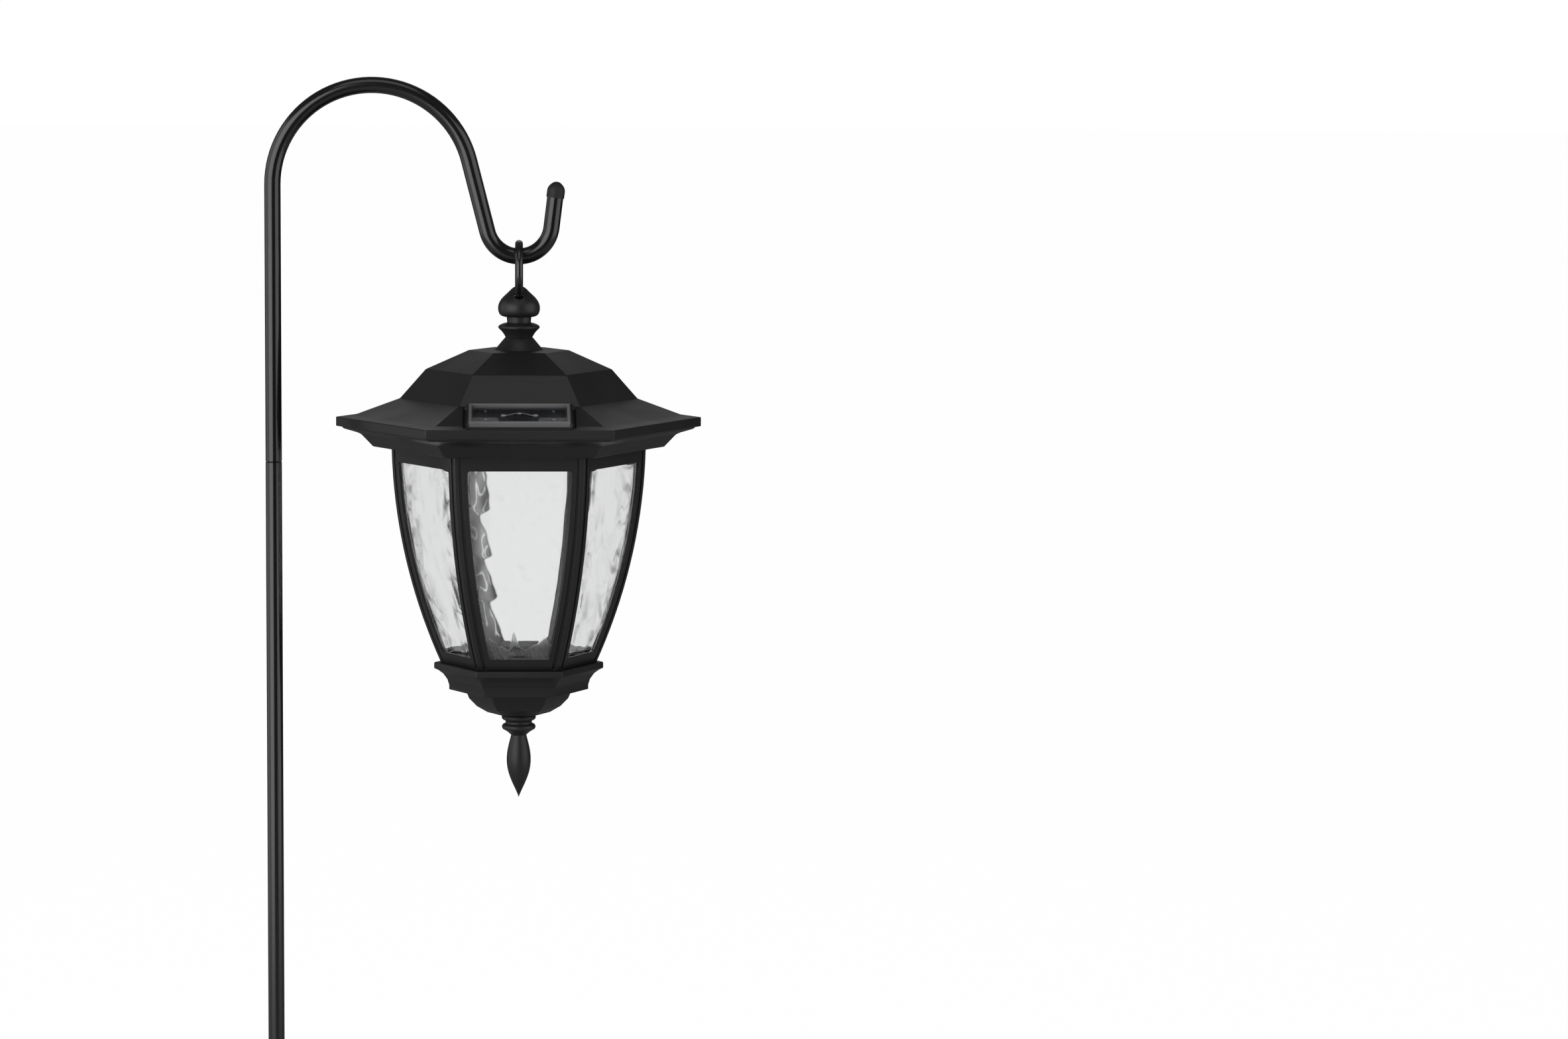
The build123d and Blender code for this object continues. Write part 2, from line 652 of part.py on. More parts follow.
lens_thick = 1.3
with BuildPart() as led_lens:
    for inset, mode in ((0, Mode.ADD), (lens_thick, Mode.SUBTRACT)):
        dome_r = lens_r - inset
        dome_low = tray_bottom - 8.2 + inset
        with BuildSketch(radial(0)):
            with BuildLine():
                Polyline((0, dome_low), (0, tray_bottom), (dome_r, tray_bottom), (dome_r, tray_bottom - 1.4))
                Spline((dome_r, tray_bottom - 1.4), (0, dome_low), tangents=((0, -1), (-1, 0)))
            make_face()
        revolve(axis=lamp_axis, mode=mode)
led_lens.part.label = "led_lens"

stem_top = 405.4
with BuildPart() as switch_body:
    with BuildSketch(level(floor_top + 0.05)):
        with Locations((switch_spot[0] + switch_travel / 2, switch_spot[1])):
            Rectangle(9.0, 5.0)
    extrude(amount=board_z - floor_top - 0.05)
    with BuildSketch(level(floor_top)):
        with Locations((switch_spot[0] + switch_travel / 2, switch_spot[1])):
            Rectangle(switch_travel + 2.4, 2.2)
    extrude(amount=stem_top + 0.2 - floor_top, mode=Mode.SUBTRACT)
switch_body.part.label = "switch_body"

with BuildPart() as switch_knob:
    with BuildSketch(level(tray_bottom - 0.1)):
        with Locations(switch_spot):
            RectangleRounded(4.4, 4.4, 0.5)
    extrude(amount=-2.0)
    with BuildSketch(level(tray_bottom - 2.1)):
        with Locations(switch_spot):
            with GridLocations(1.2, 0, 3, 1):
                Rectangle(0.5, 4.4)
    extrude(amount=0.4, mode=Mode.SUBTRACT)
    with BuildSketch(level(tray_bottom - 0.1)):
        with Locations(switch_spot):
            Rectangle(2.0, 1.9)
    extrude(amount=stem_top - tray_bottom + 0.1)
switch_knob.part.label = "switch_knob"


def wire(points, bends):
    """A thin insulated lead: straight runs joined by tangent arcs."""
    path = [(lamp_x + x, y, z) for x, y, z in points]
    start, second = Vector(path[0]), Vector(path[1])
    with BuildPart() as lead:
        with BuildLine():
            FilletPolyline(*path, radius=bends)
        with BuildSketch(Plane(origin=start, z_dir=second - start)):
            Circle(wire_r)
        sweep()
    return lead.part


board_top = board_z + board_thick
cell_back = window_plane.from_local_coords(Vector(0, 0, -cell_depth - 0.02))
down_y = sin(radians(bezel_slope))
down_z = cos(radians(bezel_slope))
solar_leads = {}
for name, side in (("solar_wire_black", -1), ("solar_wire_red", 1)):
    pad_x, pad_y = 5.0 * side, -15.0
    start = (3.0 * side, cell_back.Y, cell_back.Z)
    drop = (3.0 * side, cell_back.Y + 5.0 * down_y, cell_back.Z - 5.0 * down_z)
    solar_leads[name] = wire(
        [start, drop, (4.0 * side, -34.0, 412.6), (pad_x, pad_y, 415.0), (pad_x, pad_y, board_top + 0.02)],
        [2.0, 5.0, 3.0],
    )
    solar_leads[name].label = name

battery_leads = {}
for name, side in (("battery_wire_black", -1), ("battery_wire_red", 1)):
    exit_x = 20.0 * side
    hole_y = battery_y - 6
    battery_leads[name] = wire(
        [(exit_x, hole_y, well_top - 0.3), (exit_x, hole_y, 423.5), (12.0 * side, 1.0, 422.5),
         (12.0 * side, 1.0, board_top + 0.02)],
        [2.6, 2.6],
    )
    battery_leads[name].label = name

# ---- cage frame and panes --------------------------------------------------------------------------------------
rib_width = 1.75            # corner post's face width on each side of the corner line
groove_width = 1.3
groove_depth = 0.9
ring_thick = 2.7            # top flange that carries the bayonet lugs
cage_floor = 2.0

with BuildPart() as face_grooves:
    add(barrel(-2, bow_low[0], bow_top[0]))
    add(barrel(groove_depth, bow_low[0], bow_top[0]), mode=Mode.SUBTRACT)
    add(face_strip(rib_width, cage_bottom + 0.5, bow_top[0]), mode=Mode.INTERSECT)
    add(face_strip(rib_width + groove_width, cage_bottom + 0.5, bow_top[0]), mode=Mode.SUBTRACT)

window_cut = face_strip(frame_strip, open_bottom, open_top, corner=1.2)
with BuildPart() as cage_frame:
    add(barrel(0, cage_bottom, cage_top))
    add(barrel(cage_wall, cage_bottom + cage_floor, cage_top - ring_thick), mode=Mode.SUBTRACT)
    for k in range(6):
        add(around(window_cut, 60 * k), mode=Mode.SUBTRACT)
        add(around(face_grooves.part, 60 * k), mode=Mode.SUBTRACT)
    with BuildSketch(level(cage_top - ring_thick - 1)):
        Circle(skirt_r + 0.3)
    extrude(amount=ring_thick + 2, mode=Mode.SUBTRACT)
    for angle in lug_angles:
        with BuildSketch(radial(angle - lug_half)):
            with Locations((skirt_r + 0.3 - 0.4, (lug_low + lug_high) / 2)):
                Rectangle(2.0, lug_high - lug_low)
        revolve(axis=lamp_axis, revolution_arc=2 * lug_half)
    with BuildSketch(level(cage_bottom)):
        Circle(5)
        with PolarLocations(base_screw_circle, 3):
            Circle(screw_r + 0.1)
    extrude(amount=cage_floor, mode=Mode.SUBTRACT)
cage_frame.part.label = "cage_frame"

pane_gap = 0.05
pane_strip = face_strip(frame_strip - pane_overlap, open_bottom - pane_overlap, open_top + pane_overlap, corner=1.5)
with BuildPart() as front_pane:
    add(barrel(cage_wall + pane_gap, cage_bottom, bow_top[0]))
    add(barrel(cage_wall + pane_gap + pane_thick, cage_bottom - 1, bow_top[0] + 1), mode=Mode.SUBTRACT)
    add(pane_strip, mode=Mode.INTERSECT)
panes = {}
for k in range(6):
    pane = around(front_pane.part, 60 * k)
    pane.label = f"pane_{k + 1}"
    panes[pane.label] = pane

# ---- base moulding, screws and bottom finial ------------------------------------------------------------------------
bowl_low = 285.1
base_rings = [
    (30.2, 295.9), (30.2, 297.9), (31.0, 300.4), (32.8, 302.9), (35.0, 304.5), (36.7, 305.2),
    (36.7, 307.6), (36.3, base_top),
]
bowl_rings = [
    (8.6, bowl_low), (13.8, 286.0), (18.3, 288.6), (21.6, 292.0), (23.2, 295.9),
]
base_cavity = [
    (14.0, 290.0), (18.0, 293.6), (19.6, 297.5), (26.8, 299.2), (28.6, 302.2), (32.0, 305.6), (32.4, base_top),
]
finial_stud_r = 3.0
with BuildPart() as base_moulding:
    add(hex_stack(base_rings))
    add(hex_stack(bowl_rings))
    add(hex_stack(base_cavity), mode=Mode.SUBTRACT)
    with BuildSketch(level(295.0)):
        with PolarLocations(base_screw_circle, 3):
            Circle(3.2)
    extrude(amount=base_top - 295.0)
    with BuildSketch(level(base_top)):
        with PolarLocations(base_screw_circle, 3):
            Circle(screw_r + fit_gap)
    extrude(amount=-9, mode=Mode.SUBTRACT)
    with BuildSketch(level(bowl_low + 1)):
        Circle(6.0)
    extrude(amount=14)
    with BuildSketch(level(bowl_low)):
        Circle(finial_stud_r + fit_gap)
    extrude(amount=15, mode=Mode.SUBTRACT)
base_moulding.part.label = "base_moulding"

with BuildPart() as base_screws:
    with BuildSketch(level(cage_bottom + cage_floor)):
        with PolarLocations(base_screw_circle, 3):
            Circle(2.4)
    extrude(amount=1.4)
    with BuildSketch(level(cage_bottom + cage_floor)):
        with PolarLocations(base_screw_circle, 3):
            Circle(screw_r)
    extrude(amount=-9)
    with BuildSketch(level(cage_bottom + cage_floor + 1.4)):
        with PolarLocations(base_screw_circle, 3):
            Rectangle(3.0, 0.7)
            Rectangle(0.7, 3.0)
    extrude(amount=-0.7, mode=Mode.SUBTRACT)
base_screws.part.label = "base_screws"

finial_tip = 248.6
with BuildPart() as bottom_finial:
    with BuildSketch(radial(0)):
        with BuildLine():
            Polyline((6.4, bowl_low), (finial_stud_r, bowl_low), (finial_stud_r, 297.0), (0, 297.0), (0, finial_tip))
            Spline(
                (0, finial_tip), (2.6, 254.6), (4.8, 261.0), (5.0, 268.5), (3.3, 276.0),
                tangents=((0.35, 1), (-0.25, 1)),
            )
            ThreePointArc((3.3, 276.0), (4.7, 277.3), (6.4, 278.4))
            ThreePointArc((6.4, 278.4), (7.3, 279.7), (6.0, 281.0))
            ThreePointArc((6.0, 281.0), (5.7, 281.8), (6.2, 282.6))
            ThreePointArc((6.2, 282.6), (7.4, 283.9), (6.4, bowl_low))
        make_face()
    revolve(axis=lamp_axis)
bottom_finial.part.label = "bottom_finial"

# ---- write every piece ---------------------------------------------------------------------------------------------
pieces = [
    hook_rod, hook_tip_cap, upper_pole, ground_pole, step_prong, hanging_ring, eyelet_finial, finial_nut,
    roof_shell, panel_frame, solar_window, solar_cell, cell_terminals, cell_rivets, eave_tray, roof_gasket, tray_screws,
    battery, positive_contact, contact_spring, battery_cover, circuit_board, driver_parts, board_screws,
    led, led_lens, switch_body, switch_knob, cage_frame, base_moulding, base_screws, bottom_finial,
]
for piece in pieces:
    export_step(piece.part, f"parts/{piece.part.label}.step")
for name, shape in {**solar_leads, **battery_leads, **panes}.items():
    export_step(shape, f"parts/{name}.step")
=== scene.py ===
"""Solar garden light: a black coach lantern on a thin shepherd's hook. Metres, same frame as the CAD."""
import json
import math
import bmesh
import bpy
from mathutils import Matrix, Vector, noise
from mathutils.bvhtree import BVHTree


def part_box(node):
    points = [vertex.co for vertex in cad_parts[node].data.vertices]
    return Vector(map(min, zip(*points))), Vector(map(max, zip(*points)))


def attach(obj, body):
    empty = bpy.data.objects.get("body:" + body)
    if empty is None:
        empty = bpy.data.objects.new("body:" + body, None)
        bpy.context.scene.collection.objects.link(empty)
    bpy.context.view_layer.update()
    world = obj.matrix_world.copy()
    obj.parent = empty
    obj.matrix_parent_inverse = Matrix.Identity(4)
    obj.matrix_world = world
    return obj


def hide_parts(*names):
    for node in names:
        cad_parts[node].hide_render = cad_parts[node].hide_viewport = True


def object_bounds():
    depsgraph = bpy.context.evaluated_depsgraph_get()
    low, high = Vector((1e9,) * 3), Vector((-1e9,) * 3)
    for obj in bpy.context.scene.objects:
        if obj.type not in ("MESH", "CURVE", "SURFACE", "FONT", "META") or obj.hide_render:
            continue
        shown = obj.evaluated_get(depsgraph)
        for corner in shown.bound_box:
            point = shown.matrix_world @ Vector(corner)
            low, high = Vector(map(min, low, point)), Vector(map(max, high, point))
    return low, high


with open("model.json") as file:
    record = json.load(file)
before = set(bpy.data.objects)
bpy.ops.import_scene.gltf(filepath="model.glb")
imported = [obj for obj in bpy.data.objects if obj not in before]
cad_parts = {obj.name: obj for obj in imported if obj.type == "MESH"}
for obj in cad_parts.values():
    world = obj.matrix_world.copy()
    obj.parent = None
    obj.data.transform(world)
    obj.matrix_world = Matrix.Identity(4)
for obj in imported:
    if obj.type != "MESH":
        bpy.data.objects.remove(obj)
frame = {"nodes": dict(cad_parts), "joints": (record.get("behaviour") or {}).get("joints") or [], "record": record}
cad_low, cad_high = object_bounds()
scene = bpy.context.scene
scene.view_settings.view_transform = "Standard"
nodes = frame["nodes"]
MM = 0.001
FRONT_PANE = 1          # faces the camera; the numbers go on round the lantern
REAR_PANE = 4
PANE_MARGIN = 2.0       # mm of each pane that lies behind the cage's frame
PANE_ROWS = 180
FRONT_COLUMNS = 160
SIDE_COLUMNS = 72
SEED_STEP = 11.3        # keeps the six panes' patterns apart
RIBBON_STEPS = 12       # lengths of a solder ribbon
TERMINAL_RADIUS = 1.1   # mm

# ---- places read from the frame ------------------------------------------------------------------------
joints = {joint["name"]: joint for joint in frame["joints"]}
lamp_x = joints["lantern_swing"]["pos_m"][0]
floor_z = cad_low[2]
slot_of = {entry["node"]: entry["material_slot"] for entry in frame["record"]["subparts"]}
body_of = {node: body for body, held in frame["record"]["behaviour"]["bodies"].items() for node in held}


# ---- camera ----------------------------------------------------------------------------------------------
def add_camera(place, yaw, pitch, roll, focal):
    """Camera that looks along +Y, turned by yaw to the right, pitched down and rolled, angles in degrees."""
    yaw, pitch, roll = (math.radians(angle) for angle in (yaw, pitch, roll))
    ahead = Vector((math.sin(yaw) * math.cos(pitch), math.cos(yaw) * math.cos(pitch), -math.sin(pitch)))
    right = Vector((math.cos(yaw), -math.sin(yaw), 0))
    up = right.cross(ahead)
    right, up = right * math.cos(roll) + up * math.sin(roll), up * math.cos(roll) - right * math.sin(roll)
    data = bpy.data.cameras.new("camera")
    data.sensor_width = 36
    data.lens = focal
    data.clip_end = 60
    camera = bpy.data.objects.new("camera", data)
    axes = Matrix((right, up, -ahead)).transposed().to_4x4()
    camera.matrix_world = Matrix.Translation(place) @ axes
    scene.collection.objects.link(camera)
    scene.camera = camera


add_camera(place=(0.0950, -2.0084, 0.5832), yaw=3.56, pitch=6.05, roll=0.38, focal=107.2)


# ---- node helpers ------------------------------------------------------------------------------------------
class Shader:
    """A small builder for one node material, with its patterns in object space."""

    def __init__(self, name):
        self.material = bpy.data.materials.new(name)
        self.material.use_nodes = True
        self.tree = self.material.node_tree
        self.bsdf = self.tree.nodes["Principled BSDF"]
        self.output = self.tree.nodes["Material Output"]
        self.place = self.node("ShaderNodeTexCoord").outputs["Object"]

    def node(self, kind, **values):
        """A new node with its inputs or properties set by name."""
        made = self.tree.nodes.new(kind)
        for key, value in values.items():
            if key in made.inputs:
                made.inputs[key].default_value = value
            else:
                setattr(made, key, value)
        return made

    def link(self, source, target):
        self.tree.links.new(source, target)

    def noise(self, scale, detail=2.0, rough=0.5, stretch=None):
        """Noise whose scale is in features per metre."""
        made = self.node("ShaderNodeTexNoise", Scale=scale, Detail=detail, Roughness=rough)
        source = self.place
        if stretch:
            mapping = self.node("ShaderNodeMapping", Scale=stretch)
            self.link(source, mapping.inputs["Vector"])
            source = mapping.outputs["Vector"]
        self.link(source, made.inputs["Vector"])
        return made.outputs["Fac"]

    def math(self, operation, first, second):
        """A maths node on two sockets or numbers."""
        made = self.node("ShaderNodeMath", operation=operation)
        for socket, value in zip(made.inputs, (first, second)):
            if hasattr(value, "links"):
                self.link(value, socket)
            else:
                socket.default_value = value
        return made.outputs[0]

    def spread(self, source, low, high, at=(0.3, 0.7)):
        """Map a pattern's middle stretch to low..high."""
        made = self.node("ShaderNodeMapRange")
        for key, value in (("From Min", at[0]), ("From Max", at[1]), ("To Min", low), ("To Max", high)):
            made.inputs[key].default_value = value
        self.link(source, made.inputs["Value"])
        return made.outputs["Result"]

    def mix(self, source, dark, light):
        """Blend two colours by a pattern."""
        made = self.node("ShaderNodeMix", data_type="RGBA")
        for socket, value in ((made.inputs[6], dark), (made.inputs[7], light)):
            if hasattr(value, "links"):
                self.link(value, socket)
            else:
                socket.default_value = (*value, 1)
        self.link(source, made.inputs[0])
        return made.outputs[2]

    def bump(self, source, distance, after=None):
        """Relief of the given depth in metres, on top of an earlier relief if there is one."""
        made = self.node("ShaderNodeBump", Strength=1.0, Distance=distance)
        self.link(source, made.inputs["Height"])
        if after:
            self.link(after, made.inputs["Normal"])
        return made.outputs["Normal"]

    def set(self, **values):
        """Set or link the main shader's inputs."""
        for key, value in values.items():
            socket = self.bsdf.inputs[key.replace("_", " ")]
            if hasattr(value, "links"):
                self.link(value, socket)
            elif key == "Base_Color":
                socket.default_value = (*value, 1)
            else:
                socket.default_value = value
        return self.material


def grey(value):
    """Very slightly cool grey."""
    return (value, value, value * 1.03)


def shade(colour, factor):
    """The colour made darker or lighter by a factor."""
    return tuple(channel * factor for channel in colour)


def moulded_plastic(name, base, roughness, grain=1700, depth=0.02):
    """Black injection-moulded plastic: fine spark-eroded grain, faint flow marks and a little dust."""
    s = Shader(name)
    grain_noise = s.noise(grain, 3, 0.65)
    flow = s.noise(26, 3, 0.55)
    dust = s.spread(s.noise(5200, 1, 0.5), 0, 1, at=(0.70, 0.80))
    tone = s.mix(s.spread(flow, 0, 1), grey(base * 0.82), grey(base * 1.22))
    tone = s.mix(s.math("MULTIPLY", dust, 0.35), tone, grey(base * 5))
    rough = s.spread(flow, roughness - 0.05, roughness + 0.06)
    return s.set(Base_Color=tone, Roughness=rough, Normal=s.bump(grain_noise, depth * MM), IOR=1.47)


def painted_steel(name, base, roughness):
    """Satin black paint on steel: faint orange peel and a few lighter rubbed specks."""
    s = Shader(name)
    dust = s.noise(2600, 2, 0.6)
    wear = s.spread(s.noise(75, 4, 0.6), 0, 1, at=(0.62, 0.78))
    tone = s.mix(wear, grey(base), grey(base * 1.8))
    normal = s.bump(dust, 0.005 * MM, after=s.bump(s.noise(380, 2, 0.5), 0.018 * MM))
    return s.set(
        Base_Color=tone, Roughness=s.spread(dust, roughness - 0.05, roughness + 0.05), Normal=normal,
        IOR=1.55, Coat_Weight=0.35, Coat_Roughness=0.17,
    )


def coloured_plastic(name, colour, roughness, grain=1200, depth=0.01, **more):
    """Plain plastic, rubber or foam with a fine grain and an uneven tone."""
    s = Shader(name)
    grain_noise = s.noise(grain, 2, 0.5)
    tone = s.mix(s.spread(s.noise(90, 3, 0.5), 0, 1), shade(colour, 0.8), colour)
    return s.set(
        Base_Color=tone, Roughness=s.spread(grain_noise, roughness - 0.04, roughness + 0.06),
        Normal=s.bump(grain_noise, depth * MM), **more,
    )


def let_light_through(s, tint):
    """Shadow rays pass straight through a clear part, so that light reaches what is behind it."""
    path = s.node("ShaderNodeLightPath")
    ghost = s.node("ShaderNodeBsdfTransparent")
    ghost.inputs["Color"].default_value = (*shade(tint, 0.9), 1)
    blend = s.node("ShaderNodeMixShader")
    s.link(path.outputs["Is Shadow Ray"], blend.inputs["Fac"])
    s.link(s.bsdf.outputs["BSDF"], blend.inputs[1])
    s.link(ghost.outputs["BSDF"], blend.inputs[2])
    s.link(blend.outputs["Shader"], s.output.inputs["Surface"])
    return s.material


def clear_plastic(name, tint, roughness=0.01, index=1.49):
    """Clear moulded styrene with a trace of haze."""
    s = Shader(name)
    haze = s.noise(60, 3, 0.5)
    s.set(
        Base_Color=s.mix(haze, shade(tint, 0.97), tint), Transmission_Weight=1.0, IOR=index,
        Roughness=s.spread(haze, roughness, roughness + 0.015),
        Normal=s.bump(s.noise(95, 2, 0.5), 0.001 * MM),
    )
    return let_light_through(s, tint)


def water_glass(name, clear, painted_shade_colour):
    """Wavy pane plastic, rougher where the mesh says that the relief folds; there its colour is also darkened, a
    painted shade standing in for the dark frame seen refracted through the wavy glass.
    """
    s = Shader(name)
    haze = s.node("ShaderNodeAttribute", attribute_name="pane_haze_and_painted_shade").outputs["Fac"]
    speck = s.spread(s.noise(210, 2, 0.6), 0, 0.05, at=(0.6, 0.75))
    # The colour mix is painted shade: the dark colour, laid on by the mesh's haze values, paints the refracted
    # dark frame into the glass.
    s.set(
        Base_Color=s.mix(s.math("ADD", haze, speck), clear, painted_shade_colour), Transmission_Weight=1.0, IOR=1.49,
        Roughness=s.spread(haze, 0.005, 0.38, at=(0.10, 0.75)),
        Normal=s.bump(s.noise(150, 2, 0.5), 0.002 * MM),
    )
    return let_light_through(s, clear)


def plated_metal(name, colour, roughness):
    """Bare or plated metal with fine brushing."""
    s = Shader(name)
    brushed = s.noise(900, 3, 0.6, stretch=(1, 1, 6))
    tone = s.mix(s.spread(brushed, 0, 1), shade(colour, 0.75), colour)
    return s.set(
        Base_Color=tone, Metallic=1.0, Roughness=s.spread(brushed, roughness - 0.06, roughness + 0.1),
        Normal=s.bump(brushed, 0.006 * MM),
    )


def silicon_cell(name):
    """Dark blue-black cell with fine silver fingers."""
    s = Shader(name)
    fingers = s.node("ShaderNodeTexWave", Scale=140.0, bands_direction="X", wave_profile="SIN")
    s.link(s.place, fingers.inputs["Vector"])
    lines = s.spread(fingers.outputs["Fac"], 0, 0.18, at=(0.93, 1.0))
    crystal = s.mix(s.noise(300, 3, 0.6), (0.004, 0.004, 0.005), (0.009, 0.009, 0.011))
    return s.set(
        Base_Color=s.mix(lines, crystal, (0.10, 0.10, 0.11)), Roughness=0.4, IOR=1.2,
        Normal=s.bump(lines, 0.02 * MM),
    )


finishes = {
    "lantern_black": moulded_plastic("lantern_black", 0.012, 0.40),
    "finial_black": moulded_plastic("finial_black", 0.014, 0.42, grain=2600, depth=0.006),
    "bezel_grain": moulded_plastic("bezel_grain", 0.17, 0.55, grain=1300, depth=0.14),
    "rod_paint": painted_steel("rod_paint", 0.005, 0.20),
    "ring_paint": painted_steel("ring_paint", 0.007, 0.22),
    "cap_rubber": coloured_plastic("cap_rubber", grey(0.012), 0.6, grain=1500, depth=0.02),
    # The pane's dark colour is painted shade for the dark frame seen through the wavy glass.
    "pane_clear": water_glass("pane_clear", (0.918, 0.920, 0.923), (0.055, 0.055, 0.055)),
    "window_clear": clear_plastic("window_clear", (0.80, 0.81, 0.83), roughness=0.01, index=1.16),
    "cell_dark": silicon_cell("cell_dark"),
    "solder": plated_metal("solder", (0.42, 0.41, 0.40), 0.42),
    "gasket_foam": coloured_plastic("gasket_foam", grey(0.03), 0.85, grain=1600, depth=0.06),
    "screw_steel": plated_metal("screw_steel", (0.6, 0.6, 0.58), 0.28),
    "nickel": plated_metal("nickel", (0.66, 0.63, 0.58), 0.22),
    "battery_sleeve": coloured_plastic("battery_sleeve", (0.05, 0.24, 0.13), 0.25, Coat_Weight=0.4),
    "board_green": coloured_plastic("board_green", (0.02, 0.15, 0.06), 0.35),
    "chip_black": coloured_plastic("chip_black", grey(0.03), 0.5),
    "led_clear": clear_plastic("led_clear", (0.98, 0.95, 0.85), roughness=0.05),
    "lens_frosted": clear_plastic("lens_frosted", (0.93, 0.93, 0.92), roughness=0.45),
    "switch_black": coloured_plastic("switch_black", grey(0.03), 0.35),
    "knob_grey": coloured_plastic("knob_grey", grey(0.09), 0.35),
    "wire_red": coloured_plastic("wire_red", (0.5, 0.02, 0.02), 0.4),
    "wire_black": coloured_plastic("wire_black", grey(0.02), 0.4),
}
for name, node in nodes.items():
    node.data.materials.clear()
    node.data.materials.append(finishes[slot_of[name]])


# ---- pieces that stand for CAD nodes, and the ribbons ---------------------------------------------------
def stand_for(node, mesh, label):
    """Put a mesh in the scene in place of one CAD node, on the same body and with the same finish."""
    piece = bpy.data.objects.new(label, mesh)
    scene.collection.objects.link(piece)
    mesh.materials.clear()
    mesh.materials.append(finishes[slot_of[node]])
    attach(piece, body_of[node])
    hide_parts(node)


def soften(node, width, least_angle=24):
    """The node's moulding with its corners rounded as they leave the mould, and flat facets kept flat."""
    mesh = nodes[node].data.copy()
    shape = bmesh.new()
    shape.from_mesh(mesh)
    bmesh.ops.remove_doubles(shape, verts=shape.verts, dist=0.002 * MM)
    bmesh.ops.dissolve_limit(shape, angle_limit=math.radians(0.5), verts=shape.verts, edges=shape.edges)
    bmesh.ops.triangulate(shape, faces=[face for face in shape.faces if len(face.verts) > 4])
    shape.to_mesh(mesh)
    shape.free()
    mesh.shade_smooth()
    mesh.set_sharp_from_angle(angle=math.radians(13))
    rough_piece = bpy.data.objects.new("edges", mesh)
    scene.collection.objects.link(rough_piece)
    bevel = rough_piece.modifiers.new("bevel", "BEVEL")
    bevel.width = width * MM
    bevel.segments = 2
    bevel.limit_method = "ANGLE"
    bevel.angle_limit = math.radians(least_angle)
    bevel.use_clamp_overlap = False
    weighted = rough_piece.modifiers.new("weighted", "WEIGHTED_NORMAL")
    weighted.weight = 100
    weighted.keep_sharp = True
    depsgraph = bpy.context.evaluated_depsgraph_get()
    final = bpy.data.meshes.new_from_object(
        rough_piece.evaluated_get(depsgraph), preserve_all_data_layers=True, depsgraph=depsgraph)
    bpy.data.objects.remove(rough_piece)
    stand_for(node, final, "moulded_" + node)


def pane_rows(node, count):
    """Rows up a front pane, read from its CAD solid: height, half width, outer y and inner y."""
    mesh = nodes[node].data
    tree = BVHTree.FromPolygons([v.co for v in mesh.vertices], [p.vertices for p in mesh.polygons])
    low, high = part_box(node)
    rows = []
    for j in range(count + 1):
        z = low[2] + 0.02 * MM + (high[2] - low[2] - 0.04 * MM) * j / count
        outer = tree.ray_cast(Vector((lamp_x, low[1] - 0.01, z)), Vector((0, 1, 0)))[0].y
        inner = tree.ray_cast(Vector((lamp_x, outer + 0.2 * MM, z)), Vector((0, 1, 0)))[0].y
        side = tree.ray_cast(Vector((high[0] + 0.01, (outer + inner) / 2, z)), Vector((-1, 0, 0)))[0].x
        rows.append((z, side - lamp_x, outer, inner))
    return rows


def smooth(value, low, high):
    """0 below low, 1 above high, and an S curve between them."""
    t = min(max((value - low) / (high - low), 0), 1)
    return t * t * (3 - 2 * t)


def bell(value, middle, width):
    """1 at the middle, falling to 0 within about two widths of it."""
    return math.exp(-(((value - middle) / width) ** 2))


def wave_relief(x, z, seed):
    """Rolling water-glass relief from 0 to 1 at x, z on a pane, in mm from its lower left corner."""
    bend = 5 * noise.noise(Vector((x / 21, z / 26, seed)))
    drift = 8 * noise.noise(Vector((x / 18, z / 30, seed + 9.5)))
    rolls = noise.noise(Vector(((x + bend) / 7.5, (z + drift) / 12, seed + 3.1)))
    small = noise.noise(Vector(((x + drift) / 4.2, (z - bend) / 6.5, seed + 6.7)))
    return min(max(0.5 + 0.75 * rolls + 0.12 * small, 0), 1)


def side_pane(number, x, z, size):
    """Relief depth in mm and haze of a side pane: lively by its upright edges; the rear pane is calm. The haze
    also paints shade into the glass: dark streaks by the upright edges that stand in for the frame seen refracted
    through it.
    """
    seed = SEED_STEP * number
    edge = min(x, size[0] - x) + 2.5 * noise.noise(Vector((x / 9, z / 12, seed + 2)))
    lively = 1 - smooth(edge, 5, 14)
    relief = wave_relief(x, z, seed)
    if number == REAR_PANE:
        return 0.10 * relief, 0.03
    crescent = noise.noise(Vector(((x + 0.3 * z) / 4.5, z / 11, seed + 4.4)))
    # Painted shade: crescent streaks near the upright edges and on the relief's crests darken the glass's colour.
    haze = 0.03 + 0.50 * lively * bell(crescent, 0.22, 0.07) + 0.10 * smooth(relief, 0.7, 1)
    return (0.26 + 0.34 * lively) * relief, haze


